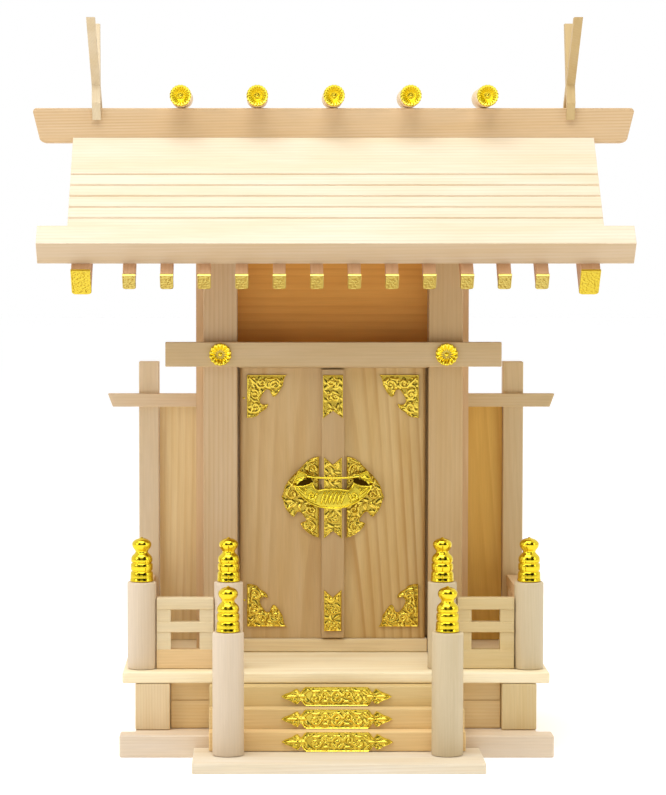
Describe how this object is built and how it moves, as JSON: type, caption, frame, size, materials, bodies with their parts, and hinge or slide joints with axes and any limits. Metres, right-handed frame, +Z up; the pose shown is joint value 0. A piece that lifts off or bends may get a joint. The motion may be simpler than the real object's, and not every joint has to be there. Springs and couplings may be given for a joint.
{
  "type": "household shinto shrine",
  "caption": "Gabled wooden household shrine with a stair, railed deck, side screens, hinged double doors and gilt fittings.",
  "frame": {"origin": "middle of the underside, halfway across the width and the depth of the whole shrine", "axes": "+Z up, the doors and the stair face -Y"},
  "size_m": [0.3844, 0.244, 0.4565],
  "materials": {
    "cypress_roof": "planed pale cypress, unfinished",
    "cypress_frame": "planed cypress, unfinished",
    "cypress_panel": "planed cypress board, unfinished",
    "cypress_door": "straight-grained cypress, unfinished",
    "cypress_round": "turned cypress, unfinished",
    "gilt": "gold-plated brass, polished and stamped"
  },
  "bodies": {
    "shrine": {"stair_foot_board": "cypress_frame", "plinth_board": "cypress_frame", "stub_post_left": "cypress_frame", "stub_post_right": "cypress_frame", "skirt_board_left": "cypress_frame", "skirt_board_right": "cypress_frame", "front_boards": "cypress_panel", "deck_board": "cypress_frame", "step_1": "cypress_frame", "step_2": "cypress_frame", "step_3": "cypress_frame", "corner_post_left": "cypress_round", "corner_post_right": "cypress_round", "inner_post_left": "cypress_round", "inner_post_right": "cypress_round", "stair_post_left": "cypress_round", "stair_post_right": "cypress_round", "corner_post_finial_left": "gilt", "corner_post_finial_right": "gilt", "inner_post_finial_left": "gilt", "inner_post_finial_right": "gilt", "stair_post_finial_left": "gilt", "stair_post_finial_right": "gilt", "front_railing_left": "cypress_frame", "front_railing_right": "cypress_frame", "side_railing_left": "cypress_frame", "side_railing_right": "cypress_frame", "pillar_left": "cypress_frame", "pillar_right": "cypress_frame", "side_wall_left": "cypress_frame", "side_wall_right": "cypress_frame", "back_wall": "cypress_panel", "transom_panel": "cypress_panel", "door_sill": "cypress_frame", "door_lintel": "cypress_frame", "tie_rail": "cypress_frame", "wing_frame_left": "cypress_frame", "wing_frame_right": "cypress_frame", "wing_panel_left": "cypress_panel", "wing_panel_right": "cypress_panel", "roof_front": "cypress_roof", "roof_back": "cypress_roof", "ridge_beam": "cypress_frame", "ridge_log_1": "cypress_round", "ridge_log_2": "cypress_round", "ridge_log_3": "cypress_round", "ridge_log_4": "cypress_round", "ridge_log_5": "cypress_round", "gable_cross_left": "cypress_roof", "gable_cross_right": "cypress_roof"},
    "left_leaf": {"door_left": "cypress_door", "door_batten": "cypress_door", "corner_plate_upper_left": "gilt", "corner_plate_lower_left": "gilt", "lock_plate_left": "gilt", "shrimp_lock": "gilt"},
    "right_leaf": {"door_right": "cypress_door", "corner_plate_upper_right": "gilt", "corner_plate_lower_right": "gilt", "lock_plate_right": "gilt"}
  },
  "joints": [
    {"name": "left_leaf_hinge", "type": "hinge", "parent": "shrine", "child": "left_leaf", "pos_m": [-0.057, 0.0425, 0.146], "axis": [0, 0, -1], "range_deg": [0, 90]},
    {"name": "right_leaf_hinge", "type": "hinge", "parent": "shrine", "child": "right_leaf", "pos_m": [0.057, 0.0425, 0.146], "axis": [0, 0, 1], "range_deg": [0, 90]}
  ],
  "couplings": [
    {"joint": "right_leaf_hinge", "follows": "left_leaf_hinge", "ratio": 1}
  ]
}
